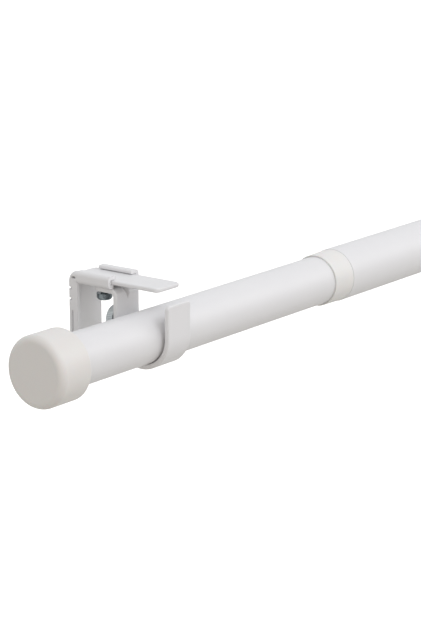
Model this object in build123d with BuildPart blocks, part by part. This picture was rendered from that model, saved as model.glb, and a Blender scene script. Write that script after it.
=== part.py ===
"""Telescopic curtain rod on two wall brackets, white powder-coated steel.

X runs along the rod, from the thin tube's end cap to the thick tube's end cap.
Y runs into the wall, which is the plane Y = 0. Z is up.
The origin lies on the wall, midway between the two screw holes of the left bracket.
All sizes are millimetres.
"""

import os
from math import sqrt

from build123d import *

# Tubes
outer_tube_od = 25.0
outer_tube_wall = 0.5
outer_tube_len = 660.0
inner_tube_od = 22.4
inner_tube_wall = 0.6
inner_tube_len = 640.0
tube_edge_r = 0.2
exposed_len = 176.5  # bare thin tube between its cap and the collar

# End caps, moulded cups pushed over the tube ends
cap_od = 30.6
cap_len = 17.5
cap_end_wall = 3.0
cap_edge_r = 3.0
cap_rim_r = 0.8
cap_skin = 1.8
cap_sleeve = 1.3
cap_core_depth = 11.0
cap_core_min = 0.5  # narrower cores are left solid
cap_rib_count = 8
cap_rib_t = 1.2

# Collar on the mouth of the thick tube, and the glide on the thin tube's hidden end
collar_len = 13.7
collar_mouth_t = 0.5  # wall at the mouth, from where it widens to the thick tube
collar_edge_r = 0.25
collar_drop = 0.25  # below the thick tube's outside where they meet
collar_spigot_len = 22.0
glide_plug_len = 18.0
glide_flange_len = 8.0
glide_bore = 14.0
glide_lead = 1.0

# Where the brackets stand along the rod
bracket_inset = 74.0  # bracket centreline from the outer face of its end cap
rod_standoff = 38.0  # rod axis from the wall

# Sheet metal of the wall bracket
sheet = 1.7
bend_r = 1.9
edge_r = 0.4

# Rod holder, one bent strip, seen from the side as a hook with a tongue
strip_t = 2.2
strip_width = 15.0
hook_inner = 25.6
tab_rise = 14.3  # top of the front tab above the hook's centre
tab_corner_r = 2.0
tongue_rise = 17.4  # top of the tongue above the hook's centre
tongue_wall_gap = 9.4  # tongue's end to the wall
tongue_corner_r = 6.5
holder_bend_r = 3.6
gusset_run = 5.4  # along leg and tongue from the bend's corner
gusset_width = 5.0  # at the corner, falling to a point at both ends

# Slide plate in the rail
slide_t = 1.8
slide_width = 15.8
slide_overhang = 9.7  # front end beyond the rod axis
slide_rear_gap = 0.5  # rear end to the wall, pushed in as far as it goes
slide_corner_r = 2.5
slide_skin = 0.5  # left above the tapped hole

# Wall bracket, one folded sheet with a lipped rail on top
rail_len = 22.8
lip_width = 5.0
lip_edge_r = 0.8
rail_corner_r = 4.8
corner_land = 0.05  # flat left on the near lip's edge where it goes round the rear corner
mouth_width = 13.0  # cut-out in the front of the web
mouth_depth = 7.0
flange_depth = 5.6
wall_leg_drop = 27.5  # lower edge below the hook's centre
wall_hole_d = 4.8
wall_hole_pitch = 14.0
wall_hole_drop = 21.5  # lower hole below the hook's centre
notch_depth = 2.4
notch_height = 1.1
notch_rises = (10.0, 14.8)  # lower edges of the two bend notches above the hook's centre
slit_width = 0.9
slit_len = 24.0
slit_inset = 2.7
slit_top_rise = 5.8
lobe_slot_len = 2.3
lobe_slot_height = 0.9
lobe_slot_rise = 20.2
lobe_slot_wall_gap = 3.5  # middle of the slot to the wall

# Clamp screw, up through tongue and rail into the slide plate
clamp_d = 3.4
clamp_head_d = 6.8
clamp_head_h = 3.0
clamp_edge_r = 1.5
clamp_head_gap = 2.3  # slack left under the tongue
clamp_wall_gap = 12.2  # screw's axis to the wall
clamp_recess_d = 3.0
clamp_recess_depth = 1.3

# Lock screw, forward through the rear leg on to the tube
lock_d = 4.6
lock_head_d = 11.0
lock_head_t = 3.3
lock_head_gap = 2.4  # head to the leg's back
lock_rise = 3.0  # above the hook's centre
lock_tip_gap = 0.3
lock_boss_d = 8.0
lock_boss_h = 1.5
knurl_count = 44
knurl_depth = 0.35

# Clearances
seat_gap = 0.1  # pieces that rest in or are pushed into each other
slide_gap = 0.3  # round faces and edges that slide along each other
flat_gap = 0.1  # flat faces that the clamp screw draws together
lip_gap = 0.2  # lips above the slide plate
side_gap = 0.5  # slide plate's edges to the rail's sides
screw_gap = 0.1  # around a screw's shank, per side

outer_r = outer_tube_od / 2
inner_r = inner_tube_od / 2
hook_r = hook_inner / 2
outer_bore_r = outer_r - outer_tube_wall
inner_bore_r = inner_r - inner_tube_wall

# Places along the rod
cap_left_x = -bracket_inset
inner_tube_x = cap_left_x + cap_end_wall
collar_x = cap_left_x + cap_len + exposed_len
outer_tube_x = collar_x + collar_len
outer_tube_end_x = outer_tube_x + outer_tube_len
cap_right_x = outer_tube_end_x + cap_end_wall
right_bracket_x = cap_right_x - bracket_inset

# Heights: the left bracket's holes set Z = 0, and the rod lies level in both hooks
left_hook_z = wall_hole_drop - wall_hole_pitch / 2
rod_z = left_hook_z - (hook_r - inner_r - seat_gap)
right_hook_z = rod_z + hook_r - outer_r - seat_gap

# Stack of sheets above the hook's centre
web_rise = tongue_rise + flat_gap
slide_rise = web_rise + sheet + flat_gap
rail_top_rise = slide_rise + slide_t + lip_gap + sheet
rail_half = slide_width / 2 + side_gap + sheet
corner_lip = bend_r + corner_land

os.makedirs("parts", exist_ok=True)


def side_plane(x, hook_z):
    """Plane across the rod, local x from the rod axis to the wall and local y up from the hook's centre."""
    return Plane(origin=(x, -rod_standoff, hook_z), x_dir=(0, 1, 0), z_dir=(1, 0, 0))


def level_plane(x, y, z):
    """Plane seen from above at one height."""
    return Plane(origin=(x, y, z))


def facing_plane(x, y, z):
    """Plane seen from the room, local x along the rod and local y up, normal away from the wall."""
    return Plane(origin=(x, y, z), x_dir=(1, 0, 0), z_dir=(0, -1, 0))


def rod_plane(x):
    """Plane through the rod axis, local x along the rod from x and local y out from the axis."""
    return Plane(origin=(x, -rod_standoff, rod_z), x_dir=(1, 0, 0), z_dir=(0, -1, 0))


def rod_axis(x):
    """Axis of the rod."""
    return Axis((x, -rod_standoff, rod_z), (1, 0, 0))


def keep(part, name):
    """Label a finished piece and write it to its own file."""
    part.label = name
    export_step(part, f"parts/{name}.step")


def make_tube(x, length, outside_r, bore_r):
    """Plain drawn tube."""
    with BuildPart() as tube:
        with BuildSketch(Plane(origin=(x, -rod_standoff, rod_z), x_dir=(0, 1, 0), z_dir=(1, 0, 0))):
            Circle(outside_r)
            Circle(bore_r, mode=Mode.SUBTRACT)
        extrude(amount=length)
        rims = tube.edges().filter_by(GeomType.CIRCLE).sort_by(SortBy.RADIUS)[-2:]
        fillet(rims, tube_edge_r)
    return tube.part


def make_cap(face_x, inward, tube_r):
    """End cap: a rounded cup, cored from behind where its wall would be thick.

    face_x is the outer face and inward is the way from there along the rod, 1 or -1.
    """
    cap_r = cap_od / 2
    bore_r = tube_r + seat_gap
    core_in = bore_r + cap_sleeve
    core_out = cap_r - cap_skin
    plane = Plane(origin=(face_x, -rod_standoff, rod_z), x_dir=(inward, 0, 0), z_dir=(0, -inward, 0))
    with BuildPart() as cap:
        with BuildSketch(plane):
            with BuildLine():
                face = Line((0, 0), (0, cap_r - cap_edge_r))
                edge = RadiusArc(face @ 1, (cap_edge_r, cap_r), cap_edge_r)
                Polyline(edge @ 1, (cap_len, cap_r), (cap_len, bore_r), (cap_end_wall, bore_r),
                         (cap_end_wall, 0), face @ 0)
            make_face()
        revolve(axis=rod_axis(face_x))
        rear = Plane(origin=(face_x + inward * cap_len, -rod_standoff, rod_z), x_dir=(0, 1, 0),
                     z_dir=(inward, 0, 0))
        if core_out - core_in > cap_core_min:
            with BuildSketch(rear):
                Circle(core_out)
                Circle(core_in, mode=Mode.SUBTRACT)
                with PolarLocations(0, cap_rib_count):
                    Rectangle(cap_od, cap_rib_t, align=(Align.MIN, Align.CENTER), mode=Mode.SUBTRACT)
            extrude(amount=-cap_core_depth, mode=Mode.SUBTRACT)
        rim = cap.edges().filter_by(GeomType.CIRCLE).group_by(Axis.X)[-1 if inward > 0 else 0]
        fillet(rim.sort_by(SortBy.RADIUS)[-1], cap_rim_r)
    return cap.part


def make_collar():
    """Collar that closes the thick tube's mouth and guides the thin tube."""
    shoulder_r = outer_r - collar_drop
    bore_r = inner_r + slide_gap
    mouth_r = bore_r + collar_mouth_t
    spigot_r = outer_bore_r - seat_gap / 2
    with BuildPart() as collar:
        with BuildSketch(rod_plane(collar_x)):
            with BuildLine():
                mouth = Line((0, bore_r), (0, mouth_r - collar_edge_r))
                edge = RadiusArc(mouth @ 1, (collar_edge_r, mouth_r), collar_edge_r)
                Polyline(edge @ 1, (collar_len, shoulder_r), (collar_len, spigot_r),
                         (collar_len + collar_spigot_len, spigot_r), (collar_len + collar_spigot_len, bore_r),
                         mouth @ 0)
            make_face()
        revolve(axis=rod_axis(collar_x))
    return collar.part


def make_glide():
    """Flanged plug in the thin tube's hidden end, a sliding fit in the thick tube."""
    end_x = inner_tube_x + inner_tube_len
    plug_r = inner_bore_r - seat_gap
    flange_r = outer_bore_r - slide_gap
    with BuildPart() as glide:
        with BuildSketch(rod_plane(end_x)):
            with BuildLine():
                Polyline((-glide_plug_len, glide_bore / 2), (-glide_plug_len, plug_r - glide_lead),
                         (glide_lead - glide_plug_len, plug_r), (0, plug_r), (0, flange_r),
                         (glide_flange_len - glide_lead, flange_r), (glide_flange_len, flange_r - glide_lead),
                         (glide_flange_len, glide_bore / 2), close=True)
            make_face()
        revolve(axis=rod_axis(end_x))
    return glide.part


def folded(points, inside, first_edge_r=0):
    """Section of a folded sheet, given its outer line and the side its thickness lies on.

    The bends are rounded, and so are the two edges at the first point if they get a radius.
    """
    with BuildSketch() as section:
        with BuildLine() as skin:
            FilletPolyline(*points, radius=bend_r)
            offset(skin.line, amount=sheet, side=inside)
        make_face()
        if first_edge_r > 0:
            fillet(section.vertices().sort_by_distance(points[0])[:2], first_edge_r)
    return section.sketch


def make_wall_bracket(x, hook_z):
    """Wall bracket: one sheet folded into a wall leg, a side flange and a rail with turned-in lips."""
    low_notch, high_notch = notch_rises
    lobe_bottom = high_notch + notch_height
    corner_rise = rail_top_rise - rail_corner_r
    with BuildPart() as bracket:
        # Rail, half a section on each side
        for side, inside in ((-1, Side.LEFT), (1, Side.RIGHT)):
            half = [(side * (rail_half - lip_width), rail_top_rise), (side * rail_half, rail_top_rise),
                    (side * rail_half, web_rise), (0, web_rise)]
            with BuildSketch(facing_plane(x, -rail_corner_r, hook_z)):
                add(folded(half, inside, lip_edge_r))
            extrude(amount=rail_len - rail_corner_r)
        # Near lip, narrowed, round the rear corner and down to the upper notch
        lip = [(corner_lip - rail_half, rail_top_rise), (-rail_half, rail_top_rise), (-rail_half, corner_rise)]
        with BuildSketch(facing_plane(x, -rail_corner_r, hook_z)):
            add(folded(lip, Side.LEFT))
        revolve(axis=Axis((x, -rail_corner_r, hook_z + corner_rise), (-1, 0, 0)), revolution_arc=90)
        with BuildSketch(level_plane(x, 0, hook_z + lobe_bottom)):
            add(folded([(corner_lip - rail_half, 0), (-rail_half, 0), (-rail_half, -rail_corner_r)], Side.LEFT))
        extrude(amount=corner_rise - lobe_bottom)
        # Rest of the web, behind the lips
        with BuildSketch(level_plane(x, -rail_corner_r, hook_z + web_rise)):
            Rectangle(2 * rail_half - bend_r, rail_corner_r - notch_depth, align=(Align.CENTER, Align.MIN))
        extrude(amount=sheet)
        # Wall leg and side flange below that notch
        with BuildSketch(level_plane(x, 0, hook_z - wall_leg_drop)):
            add(folded([(rail_half, 0), (-rail_half, 0), (-rail_half, -flange_depth)], Side.LEFT))
        extrude(amount=wall_leg_drop + high_notch)
        # Wall leg beside that notch, up behind the web
        with BuildSketch(facing_plane(x, 0, hook_z + high_notch)):
            with Locations((rail_half, 0)):
                Rectangle(2 * rail_half - notch_depth, web_rise + sheet - high_notch, align=(Align.MAX, Align.MIN))
        extrude(amount=sheet)
        # Side flange behind the upper notch, up to the rail
        with BuildSketch(side_plane(x - rail_half, hook_z)):
            with Locations((rod_standoff - flange_depth, high_notch)):
                Rectangle(flange_depth - notch_depth, corner_rise - high_notch, align=Align.MIN)
        extrude(amount=sheet)
        # Lower notch, across the fold
        with BuildSketch(level_plane(x - rail_half, 0, hook_z + low_notch)):
            Rectangle(notch_depth, notch_depth, align=(Align.MIN, Align.MAX))
        extrude(amount=notch_height, mode=Mode.SUBTRACT)
        # Slot for the clamp screw, open to the front through a wider mouth
        slot_width = clamp_d + 2 * slide_gap
        with BuildSketch(level_plane(x, -rail_len, hook_z + web_rise)):
            Rectangle(mouth_width, mouth_depth, align=(Align.CENTER, Align.MIN))
            Rectangle(slot_width, rail_len - clamp_wall_gap, align=(Align.CENTER, Align.MIN))
            with Locations((0, rail_len - clamp_wall_gap)):
                Circle(slot_width / 2)
        extrude(amount=sheet, mode=Mode.SUBTRACT)
        # Screw holes in the wall leg
        with BuildSketch(facing_plane(x, 0, hook_z - wall_hole_drop)):
            with Locations((0, 0), (0, wall_hole_pitch)):
                Circle(wall_hole_d / 2)
        extrude(amount=sheet, mode=Mode.SUBTRACT)
        # Slit in the side flange, and the small slot in the rounded corner above
        with BuildSketch(side_plane(x - rail_half, hook_z)):
            with Locations((rod_standoff - slit_inset, slit_top_rise - slit_len / 2)):
                SlotOverall(slit_len, slit_width, rotation=90)
            with Locations((rod_standoff - lobe_slot_wall_gap, lobe_slot_rise)):
                SlotOverall(lobe_slot_len, lobe_slot_height)
        extrude(amount=sheet, mode=Mode.SUBTRACT)
    return bracket.part


def make_slide_plate(x, hook_z):
    """Flat bar in the rail, tapped for the clamp screw."""
    length = rod_standoff + slide_overhang - slide_rear_gap
    with BuildPart() as plate:
        with BuildSketch(level_plane(x, -slide_rear_gap, hook_z + slide_rise)):
            bar = Rectangle(slide_width, length, align=(Align.CENTER, Align.MAX))
            fillet(bar.vertices(), slide_corner_r)
        extrude(amount=slide_t)
        chamfer(plate.faces().filter_by(Axis.Z).edges(), edge_r)
        with BuildSketch(level_plane(x, -clamp_wall_gap, hook_z + slide_rise)):
            Circle(clamp_d / 2 + screw_gap)
        extrude(amount=slide_t - slide_skin, mode=Mode.SUBTRACT)
    return plate.part


def make_holder(x, hook_z):
    """Rod holder: one strip bent into tongue, rear leg, hook and front tab."""
    leg_back = hook_r + strip_t
    tongue_end = rod_standoff - tongue_wall_gap
    mid_plane = side_plane(x, hook_z)
    with BuildPart() as holder:
        with BuildSketch(mid_plane):
            with BuildLine() as strip:
                back = FilletPolyline((tongue_end, tongue_rise), (hook_r, tongue_rise), (hook_r, 0),
                                      radius=holder_bend_r)
                bottom = RadiusArc(back @ 1, (-hook_r, 0), hook_r)
                Line(bottom @ 1, (-hook_r, tab_rise))
                offset(strip.line, amount=strip_t, side=Side.LEFT)
            make_face()
        extrude(amount=strip_width / 2, both=True)
        corners = holder.edges().filter_by(Axis.Y).group_by(Axis.Y)[0].group_by(Axis.Z)[-1]
        fillet(corners, tab_corner_r)
        fillet(holder.edges().filter_by(Axis.Z).group_by(Axis.Y)[-1], tongue_corner_r)
        chamfer(holder.faces().filter_by(Axis.X).edges(), edge_r)
        # Gusset pressed into the upper bend: a rib inside the corner, then a groove outside, both V-shaped
        corner = Vector(x, hook_r - rod_standoff, hook_z + tongue_rise)
        for inset, depth, mode in ((strip_t / 2, strip_t, Mode.ADD), (-edge_r, 0, Mode.SUBTRACT)):
            half_width = gusset_width / 2 + depth / 2
            floor = gusset_run / sqrt(2) + depth
            across = Plane(origin=corner, x_dir=(1, 0, 0), z_dir=(0, 1, 1))
            with BuildSketch(across, mode=Mode.PRIVATE) as middle:
                with BuildLine():
                    brim = inset * sqrt(2)
                    Polyline((-half_width, brim), (half_width, brim), (0, floor), close=True)
                make_face()
            run = floor * sqrt(2) - inset
            for end in (Vector(0, run, -inset), Vector(0, inset, -run)):
                loft([middle.sketch, Vertex(corner + end)], mode=mode)
        # Collar drawn out of the leg's back for the lock screw's thread, and the two screw holes
        with BuildSketch(facing_plane(x, leg_back - rod_standoff, hook_z + lock_rise)):
            Circle(lock_boss_d / 2)
        extrude(amount=-lock_boss_h)
        with BuildSketch(facing_plane(x, leg_back + lock_boss_h - rod_standoff, hook_z + lock_rise)):
            Circle(lock_d / 2 + screw_gap)
        extrude(amount=strip_t + lock_boss_h, mode=Mode.SUBTRACT)
        with BuildSketch(level_plane(x, -clamp_wall_gap, hook_z + tongue_rise)):
            Circle(clamp_d / 2 + screw_gap)
        extrude(amount=-strip_t, mode=Mode.SUBTRACT)
    return holder.part


def make_clamp_screw(x, hook_z):
    """Pan-head screw from below, with a cross recess in its head."""
    head_r = clamp_head_d / 2
    shank_r = clamp_d / 2
    shank_top = slide_rise + slide_t - slide_skin - screw_gap
    head_top = tongue_rise - strip_t - clamp_head_gap
    head_bottom = head_top - clamp_head_h
    screw_y = -clamp_wall_gap
    with BuildPart() as screw:
        with BuildSketch(facing_plane(x, screw_y, hook_z)):
            with BuildLine():
                flat = Line((0, head_bottom), (head_r - clamp_edge_r, head_bottom))
                dome = RadiusArc(flat @ 1, (head_r, head_bottom + clamp_edge_r), -clamp_edge_r)
                Polyline(dome @ 1, (head_r, head_top), (shank_r, head_top), (shank_r, shank_top - edge_r),
                         (shank_r - edge_r, shank_top), (0, shank_top), flat @ 0)
            make_face()
        revolve(axis=Axis((x, screw_y, hook_z), (0, 0, 1)))
        with BuildSketch(level_plane(x, screw_y, hook_z + head_bottom)):
            for turn in (0, 90):
                Rectangle(clamp_recess_d, clamp_recess_d / 4, rotation=turn)
        extrude(amount=clamp_recess_depth, mode=Mode.SUBTRACT)
    return screw.part


def make_lock_screw(x, hook_z, tube_r):
    """Lock screw with a knurled head behind the rear leg and a flat tip facing the tube."""
    screw_z = hook_z + lock_rise
    nearest = max(screw_z - rod_z - lock_d / 2, 0)
    tip = sqrt(tube_r**2 - nearest**2) + lock_tip_gap
    head_front = hook_r + strip_t + lock_head_gap
    with BuildPart() as screw:
        with BuildSketch(facing_plane(x, head_front + lock_head_t - rod_standoff, screw_z)):
            Circle(lock_head_d / 2)
            with PolarLocations(lock_head_d / 2, knurl_count):
                Rectangle(knurl_depth, knurl_depth, rotation=45, mode=Mode.SUBTRACT)
        extrude(amount=lock_head_t)
        with BuildSketch(facing_plane(x, head_front - rod_standoff, screw_z)):
            Circle(lock_d / 2)
        extrude(amount=head_front - tip)
    return screw.part


if __name__ == "__main__":
    keep(make_tube(inner_tube_x, inner_tube_len, inner_r, inner_bore_r), "inner_tube")
    keep(make_tube(outer_tube_x, outer_tube_len, outer_r, outer_bore_r), "outer_tube")
    keep(make_cap(cap_left_x, 1, inner_r), "end_cap_left")
    keep(make_cap(cap_right_x, -1, outer_r), "end_cap_right")
    keep(make_collar(), "joint_collar")
    keep(make_glide(), "glide_plug")
    left = ("left", 0, left_hook_z, inner_r)
    right = ("right", right_bracket_x, right_hook_z, outer_r)
    for side, x, hook_z, tube_r in (left, right):
        keep(make_wall_bracket(x, hook_z), f"wall_bracket_{side}")
        keep(make_slide_plate(x, hook_z), f"slide_plate_{side}")
        keep(make_holder(x, hook_z), f"rod_holder_{side}")
        keep(make_clamp_screw(x, hook_z), f"clamp_screw_{side}")
        keep(make_lock_screw(x, hook_z, tube_r), f"lock_screw_{side}")
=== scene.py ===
"""Looks for a telescopic curtain rod on two folded wall brackets.

The solids come from the frame. This script gives them their finishes, adds the threads that show on the
screws and the lip in the collar's mouth, and sets up the studio and the camera.
"""

import logging
import math
from dataclasses import dataclass, field
from enum import Enum
from typing import Any

import bmesh
import bpy
from mathutils import Euler, Matrix, Vector


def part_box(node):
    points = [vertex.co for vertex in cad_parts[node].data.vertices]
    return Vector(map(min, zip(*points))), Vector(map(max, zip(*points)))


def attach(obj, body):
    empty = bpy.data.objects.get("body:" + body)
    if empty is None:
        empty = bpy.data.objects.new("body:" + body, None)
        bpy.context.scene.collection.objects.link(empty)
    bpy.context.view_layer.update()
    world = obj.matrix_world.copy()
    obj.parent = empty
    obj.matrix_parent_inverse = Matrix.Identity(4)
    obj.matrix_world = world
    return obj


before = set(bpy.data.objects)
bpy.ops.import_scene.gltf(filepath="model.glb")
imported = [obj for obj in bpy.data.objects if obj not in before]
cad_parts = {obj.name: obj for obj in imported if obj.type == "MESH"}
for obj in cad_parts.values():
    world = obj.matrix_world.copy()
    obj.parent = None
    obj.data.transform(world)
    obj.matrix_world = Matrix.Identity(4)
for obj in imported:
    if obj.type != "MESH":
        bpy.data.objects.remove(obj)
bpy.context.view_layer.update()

LOG = logging.getLogger("curtain_rod")
MM = 0.001

# Places of the colour mix's sockets, which have the same names as those of the other kinds of mix
MIX_FACTOR = 0
MIX_FIRST = 6
MIX_SECOND = 7
MIX_RESULT = 2


class End(Enum):
    """The two ends of the rod, each with its own bracket."""

    LEFT = "left"
    RIGHT = "right"


class Heading(Enum):
    """Way that a screw points, from its head to its tip."""

    UP = (0.0, 0.0, 1.0)
    FROM_WALL = (0.0, -1.0, 0.0)


def linear(hex_colour: str) -> tuple[float, float, float, float]:
    """Turn an sRGB hex colour into linear RGBA.

    Args:
        hex_colour: Colour as "#rrggbb".

    Returns:
        Linear red, green and blue, and an alpha of one.
    """
    channels = [int(hex_colour[i:i + 2], 16) / 255 for i in (1, 3, 5)]
    lit = [c / 12.92 if c <= 0.04045 else ((c + 0.055) / 1.055) ** 2.4 for c in channels]
    return (lit[0], lit[1], lit[2], 1.0)


def per_metre(size_mm: float) -> float:
    """Pattern scale, in repeats a metre, of a feature with a real size in millimetres."""
    return 1.0 / (size_mm * MM)


def add_node(tree: bpy.types.NodeTree, kind: str, values: dict[str | int, Any] | None = None,
             links: dict[str | int, bpy.types.NodeSocket] | None = None, **settings: Any) -> bpy.types.Node:
    """Add one node with its settings, socket values and incoming links.

    Args:
        tree: Node tree that takes the node.
        kind: Blender's name for the node type.
        values: Constant for each socket, by name or place.
        links: Output that feeds each socket, by name or place.
        **settings: Properties of the node itself.

    Returns:
        The new node.
    """
    node = tree.nodes.new(kind)
    for name, value in settings.items():
        setattr(node, name, value)
    for socket, value in (values or {}).items():
        node.inputs[socket].default_value = value
    for socket, source in (links or {}).items():
        tree.links.new(source, node.inputs[socket])
    return node


def new_material(name: str) -> tuple[bpy.types.Material, bpy.types.NodeTree]:
    """Make a material with an empty node tree.

    Args:
        name: What the real material is and how its surface was made.

    Returns:
        The material and its node tree.
    """
    material = bpy.data.materials.new(name)
    material.use_nodes = True
    material.node_tree.nodes.clear()
    return material, material.node_tree


@dataclass(frozen=True)
class Finish:
    """A surface: a base colour that drifts a little, a sheen that varies, and a fine relief."""

    name: str
    colour: str
    drift_colour: str
    drift_mm: float
    roughness: tuple[float, float]
    relief_mm: float
    relief_height_mm: float
    edge_mm: float
    metallic: float = 0.0
    ior: float = 1.5
    subsurface: float = 0.0
    subsurface_mm: float = 1.0
    drift_detail: float = 3.0
    relief_detail: float = 2.0
    relief_strength: float = 1.0
    edge_samples: int = 6

    def material(self) -> bpy.types.Material:
        """Build the finish as a material.

        Returns:
            The material, for every piece that has this finish.
        """
        material, tree = new_material(self.name)
        smoothest, roughest = self.roughness
        place = add_node(tree, "ShaderNodeTexCoord").outputs["Object"]
        drift = add_node(tree, "ShaderNodeTexNoise",
                         {"Scale": per_metre(self.drift_mm), "Detail": self.drift_detail}, {"Vector": place})
        colour = add_node(tree, "ShaderNodeMix",
                          {MIX_FIRST: linear(self.colour), MIX_SECOND: linear(self.drift_colour)},
                          {MIX_FACTOR: drift.outputs["Fac"]}, data_type="RGBA")
        relief = add_node(tree, "ShaderNodeTexNoise",
                          {"Scale": per_metre(self.relief_mm), "Detail": self.relief_detail},
                          {"Vector": place})
        sheen = add_node(tree, "ShaderNodeMapRange", {"To Min": smoothest, "To Max": roughest},
                         {"Value": drift.outputs["Fac"]})
        edge = add_node(tree, "ShaderNodeBevel", {"Radius": self.edge_mm * MM}, samples=self.edge_samples)
        bump = add_node(tree, "ShaderNodeBump",
                        {"Strength": self.relief_strength, "Distance": self.relief_height_mm * MM},
                        {"Height": relief.outputs["Fac"], "Normal": edge.outputs["Normal"]})
        surface = add_node(tree, "ShaderNodeBsdfPrincipled",
                           {"Metallic": self.metallic, "IOR": self.ior, "Subsurface Weight": self.subsurface,
                            "Subsurface Scale": self.subsurface_mm * MM},
                           {"Base Color": colour.outputs[MIX_RESULT], "Roughness": sheen.outputs["Result"],
                            "Normal": bump.outputs["Normal"]})
        add_node(tree, "ShaderNodeOutputMaterial", links={"Surface": surface.outputs["BSDF"]})
        return material


# Polyester powder baked on to steel: an even cool white with a soft broad sheen, a shallow orange peel
# and edges rounded over by the coat
POWDER_COAT = Finish(
    "powder_coated_steel_white", colour="#e9e9ea", drift_colour="#e5e5e7", drift_mm=30.0,
    roughness=(0.36, 0.46), relief_mm=1.4, relief_height_mm=0.006, edge_mm=0.35,
)

# Polypropylene from a spark-eroded mould: a warm white, a little greyer than the coat, with a soft sheen and
# some light let in at its edges; its grain is really about 0.1 mm and is drawn at 0.5 mm so that it shows
MOULDED_CAP = Finish(
    "moulded_polypropylene_white", colour="#e6e4e1", drift_colour="#e3e1de", drift_mm=18.0,
    roughness=(0.34, 0.44), relief_mm=0.5, relief_height_mm=0.004, edge_mm=0.2,
    ior=1.49, subsurface=0.05, subsurface_mm=0.8,
)

# The same resin with a whiter pigment, from a slightly coarser mould: a duller sheen than the cap's, in a
# white that nearly matches the coated tube
MOULDED_COLLAR = Finish(
    "moulded_polypropylene_bright_white", colour="#ecebe9", drift_colour="#e8e7e5", drift_mm=18.0,
    roughness=(0.40, 0.50), relief_mm=0.5, relief_height_mm=0.005, edge_mm=0.3,
    ior=1.49, subsurface=0.06, subsurface_mm=1.2,
)

# Bright zinc plate, clear passivated: a pale grey metal with slightly cloudy reflections
BRIGHT_ZINC = Finish(
    "zinc_plated_steel_bright", colour="#cdd1d2", drift_colour="#b2b8bb", drift_mm=2.5,
    roughness=(0.24, 0.40), relief_mm=0.35, relief_height_mm=0.008, edge_mm=0.12, metallic=1.0,
)

# Zinc plate with a bluish tint, drawn darker than the lock screw's and with dark clouds: painted shade and
# painted dark reflections for the clamp screw, which sits in shade under the rail
ZINC_WITH_PAINTED_SHADE = Finish(
    "zinc_plated_steel_with_painted_shade", colour="#98a1a5", drift_colour="#5f686d", drift_mm=1.6,
    roughness=(0.18, 0.36), relief_mm=0.35, relief_height_mm=0.010, edge_mm=0.12, metallic=1.0,
)


def dress_nodes(names: tuple[str, ...], material: bpy.types.Material) -> None:
    """Put one material on the named solids.

    Args:
        names: Names of the solids.
        material: Finish for all of them.
    """
    for name in names:
        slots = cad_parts[name].data.materials
        slots.clear()
        slots.append(material)
        LOG.info("%s wears %s", name, material.name)


def join_rings(name: str, rings: list[list[Vector]], closed: bool) -> bpy.types.Object:
    """Skin a row of rings that have as many points each.

    Args:
        name: Name of the new object.
        rings: Points of each ring, in metres.
        closed: Whether the last ring joins the first; otherwise both ends get a face.

    Returns:
        The closed mesh as an object in the scene, not yet riding on a body.
    """
    mesh = bmesh.new()
    loops = [[mesh.verts.new(point) for point in ring] for ring in rings]
    for near, far in zip(loops, loops[1:] + loops[:1] if closed else loops[1:]):
        for i in range(len(near)):
            mesh.faces.new((near[i - 1], near[i], far[i], far[i - 1]))
    if not closed:
        mesh.faces.new(reversed(loops[0]))
        mesh.faces.new(loops[-1])
    bmesh.ops.recalc_face_normals(mesh, faces=mesh.faces)
    data = bpy.data.meshes.new(name)
    mesh.to_mesh(data)
    mesh.free()
    piece = bpy.data.objects.new(name, data)
    bpy.context.scene.collection.objects.link(piece)
    return piece


@dataclass
class WiperLip:
    """Thin lip inside the collar's mouth that closes it on the thin tube."""

    mouth_gap_mm: float = 0.3
    clear_mm: float = 0.06
    bite_mm: float = 0.02
    recess_mm: float = 0.02
    depth_mm: float = 0.8
    steps: int = 160

    def build(self, resin: bpy.types.Material) -> None:
        """Mould the lip and let it ride on the thick side.

        Args:
            resin: Finish of the collar.
        """
        tube_low, tube_high = (Vector(corner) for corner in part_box("inner_tube"))
        centre = (tube_low + tube_high) / 2
        tube_mm = (tube_high.z - tube_low.z) / 2 / MM
        mouth_x = Vector(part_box("joint_collar")[0]).x
        inside = tube_mm + self.clear_mm
        outside = tube_mm + self.mouth_gap_mm + self.bite_mm
        section = ((self.recess_mm, inside), (self.recess_mm, outside),
                   (self.depth_mm, outside), (self.depth_mm, inside))
        rings: list[list[Vector]] = []
        for step in range(self.steps):
            angle = math.tau * step / self.steps
            rings.append([Vector((mouth_x + along * MM, centre.y + radius * MM * math.cos(angle),
                                  centre.z + radius * MM * math.sin(angle))) for along, radius in section])
        lip = join_rings("joint_collar_lip", rings, closed=True)
        lip.data.materials.append(resin)
        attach(lip, "thick_side")
        LOG.info("%s moulded", lip.name)


@dataclass
class Telescope:
    """The two tubes with their end caps, collar and hidden glide."""

    tubes: tuple[str, ...] = ("inner_tube", "outer_tube")
    caps: tuple[str, ...] = ("end_cap_left", "end_cap_right")
    guides: tuple[str, ...] = ("joint_collar", "glide_plug")

    def dress(self, coat: bpy.types.Material, cap: bpy.types.Material, guide: bpy.types.Material) -> None:
        """Give the tubes and the moulded pieces their finishes.

        Args:
            coat: Finish of the steel tubes.
            cap: Finish of the end caps.
            guide: Finish of the collar and the glide.
        """
        dress_nodes(self.tubes, coat)
        dress_nodes(self.caps, cap)
        dress_nodes(self.guides, guide)

    def build(self, guide: bpy.types.Material) -> None:
        """Add the lip that closes the collar on the thin tube, in the collar's own finish."""
        WiperLip().build(guide)


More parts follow.
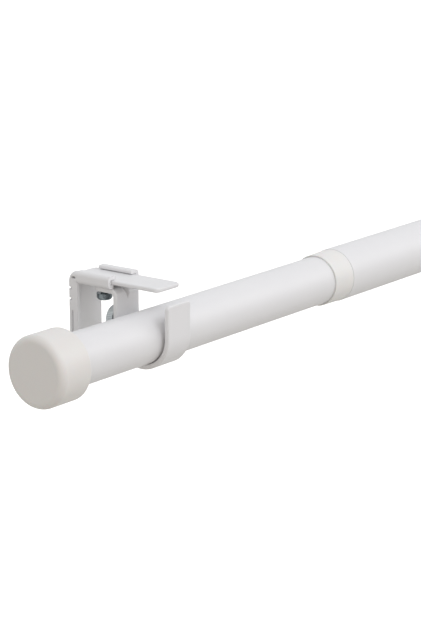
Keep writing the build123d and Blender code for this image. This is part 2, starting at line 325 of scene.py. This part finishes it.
@dataclass
class ScrewThread:
    """A rolled thread on the part of a screw's shank that shows, with its section in shares of the pitch."""

    name: str
    start: Vector
    heading: Heading
    length_mm: float
    root_mm: float
    crest_mm: float
    pitch_mm: float
    foot_share: float = 0.45
    flat_share: float = 0.08
    fade_turns: float = 0.25
    steps_a_turn: int = 40

    def build(self) -> bpy.types.Object:
        """Build the thread as one closed ridge wound round the shank.

        Returns:
            The ridge, not yet riding on a body.
        """
        run_mm = self.length_mm - self.pitch_mm
        steps = round(run_mm / self.pitch_mm * self.steps_a_turn)
        fade_steps = self.fade_turns * self.steps_a_turn
        turned = Vector(self.heading.value).to_track_quat("Z", "X").to_matrix()
        rings: list[list[Vector]] = []
        for step in range(steps + 1):
            share = step / steps
            angle = math.tau * step / self.steps_a_turn
            fade = min(1.0, step / fade_steps, (steps - step) / fade_steps)
            crest = self.root_mm + (self.crest_mm - self.root_mm) * fade
            middle = self.pitch_mm / 2 + run_mm * share
            section = ((self.root_mm, -self.foot_share), (crest, -self.flat_share),
                       (crest, self.flat_share), (self.root_mm, self.foot_share))
            rings.append([self.start + turned @ Vector((radius * math.cos(angle), radius * math.sin(angle),
                                                        middle + along * self.pitch_mm)) * MM
                          for radius, along in section])
        return join_rings(self.name, rings, closed=False)


@dataclass
class Bracket:
    """One wall bracket with its slide plate, rod holder and two screws."""

    end: End
    strip_mm: float = 2.2
    clamp_head_mm: float = 3.0
    clamp_shank_mm: float = 1.7
    clamp_crest_mm: float = 1.95
    clamp_pitch_mm: float = 0.75
    lock_head_mm: float = 3.3
    lock_free_mm: float = 0.9
    lock_shank_mm: float = 2.3
    lock_crest_mm: float = 2.5
    lock_pitch_mm: float = 0.4

    def node(self, name: str) -> str:
        """Name of this bracket's own solid."""
        return f"{name}_{self.end.value}"

    def dress(self, coat: bpy.types.Material, clamp: bpy.types.Material, lock: bpy.types.Material) -> None:
        """Give the steel pieces and the screws their finishes.

        Args:
            coat: Finish of the folded and bent steel.
            clamp: Finish of the clamp screw.
            lock: Finish of the lock screw.
        """
        dress_nodes(tuple(self.node(n) for n in ("wall_bracket", "slide_plate", "rod_holder")), coat)
        dress_nodes((self.node("clamp_screw"),), clamp)
        dress_nodes((self.node("lock_screw"),), lock)

    def build(self, clamp: bpy.types.Material, lock: bpy.types.Material) -> None:
        """Add the threads that show on the two screws.

        Args:
            clamp: Finish of the clamp screw.
            lock: Finish of the lock screw.
        """
        low, high = (Vector(corner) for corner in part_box(self.node("clamp_screw")))
        middle = (low + high) / 2
        tongue_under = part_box(self.node("rod_holder"))[1][2] - self.strip_mm * MM
        head_top = low.z + self.clamp_head_mm * MM
        self.add_thread("clamp_screw", clamp, Vector((middle.x, middle.y, head_top)), Heading.UP,
                        (tongue_under - head_top) / MM, self.clamp_shank_mm, self.clamp_crest_mm,
                        self.clamp_pitch_mm)
        low, high = (Vector(corner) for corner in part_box(self.node("lock_screw")))
        middle = (low + high) / 2
        head_front = high.y - self.lock_head_mm * MM
        self.add_thread("lock_screw", lock, Vector((middle.x, head_front, middle.z)), Heading.FROM_WALL,
                        self.lock_free_mm, self.lock_shank_mm, self.lock_crest_mm, self.lock_pitch_mm)

    def add_thread(self, screw: str, plating: bpy.types.Material, start: Vector, heading: Heading,
                   length_mm: float, root_mm: float, crest_mm: float, pitch_mm: float) -> None:
        """Add one thread and let it ride on its screw.

        Args:
            screw: Name of the screw without its end.
            plating: Finish of the screw.
            start: Place on the screw's axis where the thread begins, in metres.
            heading: Way from there to the thread's end.
            length_mm: Length along the axis.
            root_mm: Radius at the thread's root.
            crest_mm: Radius at the thread's crest.
            pitch_mm: Rise in one turn.
        """
        body = self.node(screw)
        ridge = ScrewThread(f"{body}_thread", start, heading, length_mm, root_mm, crest_mm, pitch_mm)
        thread = ridge.build()
        thread.data.materials.append(plating)
        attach(thread, body)
        LOG.info("%s rolled", thread.name)


@dataclass
class Lamp:
    """One soft box, with its place and width in metres and its power in watts."""

    name: str
    place: tuple[float, float, float]
    width: float
    power: float
    colour: str = "#ffffff"

    def build(self, target: Vector) -> None:
        """Hang the soft box and aim it.

        Args:
            target: Point that it faces, in metres.
        """
        data = bpy.data.lights.new(self.name, "AREA")
        data.shape = "DISK"
        data.size = self.width
        data.energy = self.power
        data.color = linear(self.colour)[:3]
        lamp = bpy.data.objects.new(self.name, data)
        lamp.location = self.place
        lamp.rotation_euler = (target - lamp.location).to_track_quat("-Z", "Y").to_euler()
        bpy.context.scene.collection.objects.link(lamp)


@dataclass
class Studio:
    """White floor and sky, soft light and the camera; plain lengths are in metres."""

    target: Vector = field(default_factory=lambda: Vector((0.03, -0.03, 0.01)))
    camera_place: tuple[float, float, float] = (-0.6904, -0.6019, 0.2540)
    camera_heading_deg: float = 52.349
    camera_dip_deg: float = 14.639
    camera_roll_deg: float = -0.16
    focal_px: float = 2190.8
    image_long_px: float = 631.0
    sensor_mm: float = 36.0
    floor_drop: float = 0.8
    floor_size: float = 40.0
    floor_colour: str = "#c4c2bd"
    floor_roughness: float = 0.9
    floor_specular: float = 0.0
    floor_glow: float = 1.0
    floor_glow_colour: str = "#ffffff"
    floor_gloss: float = 0.45
    sky_strength: float = 0.665
    sky_seen_strength: float = 1.0
    sky_colour: str = "#ffffff"
    sky_gloss: float = 1.0
    lamps: tuple[Lamp, ...] = (
        Lamp("key_softbox", place=(0.0, -1.8, 1.70), width=2.2, power=18.5, colour="#f8f9ff"),
        Lamp("side_softbox", place=(1.6, -1.2, 0.9), width=1.2, power=5.0),
        Lamp("warm_fill", place=(-1.4, -1.3, 0.3), width=1.2, power=3.0, colour="#ffe2c8"),
    )

    def build(self) -> None:
        """Set up floor, sky, lamps and camera."""
        bpy.context.scene.view_settings.view_transform = "Standard"
        self.build_floor()
        self.build_sky()
        for lamp in self.lamps:
            lamp.build(self.target)
        self.build_camera()

    def build_floor(self) -> None:
        """Lay a floor that is plain white to the camera and lights the object as grey paper would."""
        bpy.ops.mesh.primitive_plane_add(size=self.floor_size, location=(0.0, 0.0, -self.floor_drop))
        floor = bpy.context.active_object
        floor.name = "studio_floor"
        material, tree = new_material("matt_white_paper_sweep")
        seen = self.seen_directly(tree, self.floor_gloss)
        glow = add_node(tree, "ShaderNodeMath", {1: self.floor_glow}, {0: seen}, operation="MULTIPLY")
        surface = add_node(tree, "ShaderNodeBsdfPrincipled",
                           {"Base Color": linear(self.floor_colour), "Roughness": self.floor_roughness,
                            "Specular IOR Level": self.floor_specular,
                            "Emission Color": linear(self.floor_glow_colour)},
                           {"Emission Strength": glow.outputs["Value"]})
        add_node(tree, "ShaderNodeOutputMaterial", links={"Surface": surface.outputs["BSDF"]})
        floor.data.materials.append(material)

    @staticmethod
    def seen_directly(tree: bpy.types.NodeTree, in_gloss: float) -> bpy.types.NodeSocket:
        """Tell the rays that see the background from the light that falls on the object.

        Args:
            tree: Node tree that takes the nodes.
            in_gloss: Number for a ray off a glossy surface.

        Returns:
            The socket that holds one for a ray from the camera or through glass, in_gloss for a ray off a
            glossy surface, and nought for any other.
        """
        path = add_node(tree, "ShaderNodeLightPath").outputs
        gloss = add_node(tree, "ShaderNodeMath", {1: in_gloss}, {0: path["Is Glossy Ray"]},
                         operation="MULTIPLY")
        clear = add_node(tree, "ShaderNodeMath",
                         links={0: path["Is Camera Ray"], 1: path["Is Transmission Ray"]},
                         operation="MAXIMUM")
        seen = add_node(tree, "ShaderNodeMath",
                        links={0: clear.outputs["Value"], 1: gloss.outputs["Value"]}, operation="MAXIMUM")
        return seen.outputs["Value"]

    def build_sky(self) -> None:
        """Light the room evenly, with a white background behind the object."""
        world = bpy.data.worlds.new("white_room")
        world.use_nodes = True
        tree = world.node_tree
        tree.nodes.clear()
        seen = self.seen_directly(tree, self.sky_gloss)
        strength = add_node(tree, "ShaderNodeMapRange",
                            {"To Min": self.sky_strength, "To Max": self.sky_seen_strength}, {"Value": seen})
        sky = add_node(tree, "ShaderNodeBackground", {"Color": linear(self.sky_colour)},
                       {"Strength": strength.outputs["Result"]})
        add_node(tree, "ShaderNodeOutputWorld", links={"Surface": sky.outputs["Background"]})
        bpy.context.scene.world = world

    def build_camera(self) -> None:
        """Stand the camera left of the rod, above it, and look along it to the wall."""
        data = bpy.data.cameras.new("camera")
        data.sensor_width = self.sensor_mm
        data.lens = self.focal_px * self.sensor_mm / self.image_long_px
        camera = bpy.data.objects.new("camera", data)
        heading = math.radians(self.camera_heading_deg)
        dip = math.radians(self.camera_dip_deg)
        turn = Euler((math.pi / 2 - dip, 0.0, -heading)).to_matrix()
        roll = Matrix.Rotation(math.radians(self.camera_roll_deg), 3, "Z")
        camera.rotation_euler = (turn @ roll).to_euler()
        camera.location = self.camera_place
        bpy.context.scene.collection.objects.link(camera)
        bpy.context.scene.camera = camera


def main() -> None:
    """Build and dress every sub-assembly, then the studio."""
    logging.basicConfig(level=logging.INFO, format="%(name)s: %(message)s")
    coat = POWDER_COAT.material()
    cap = MOULDED_CAP.material()
    guide = MOULDED_COLLAR.material()
    # The clamp screw's finish is darkened zinc: painted shade for its place under the rail
    clamp = ZINC_WITH_PAINTED_SHADE.material()
    lock = BRIGHT_ZINC.material()
    telescope = Telescope()
    telescope.dress(coat, cap, guide)
    telescope.build(guide)
    for end in End:
        bracket = Bracket(end)
        bracket.dress(coat, clamp, lock)
        bracket.build(clamp, lock)
    Studio().build()


if __name__ == "__main__":
    main()
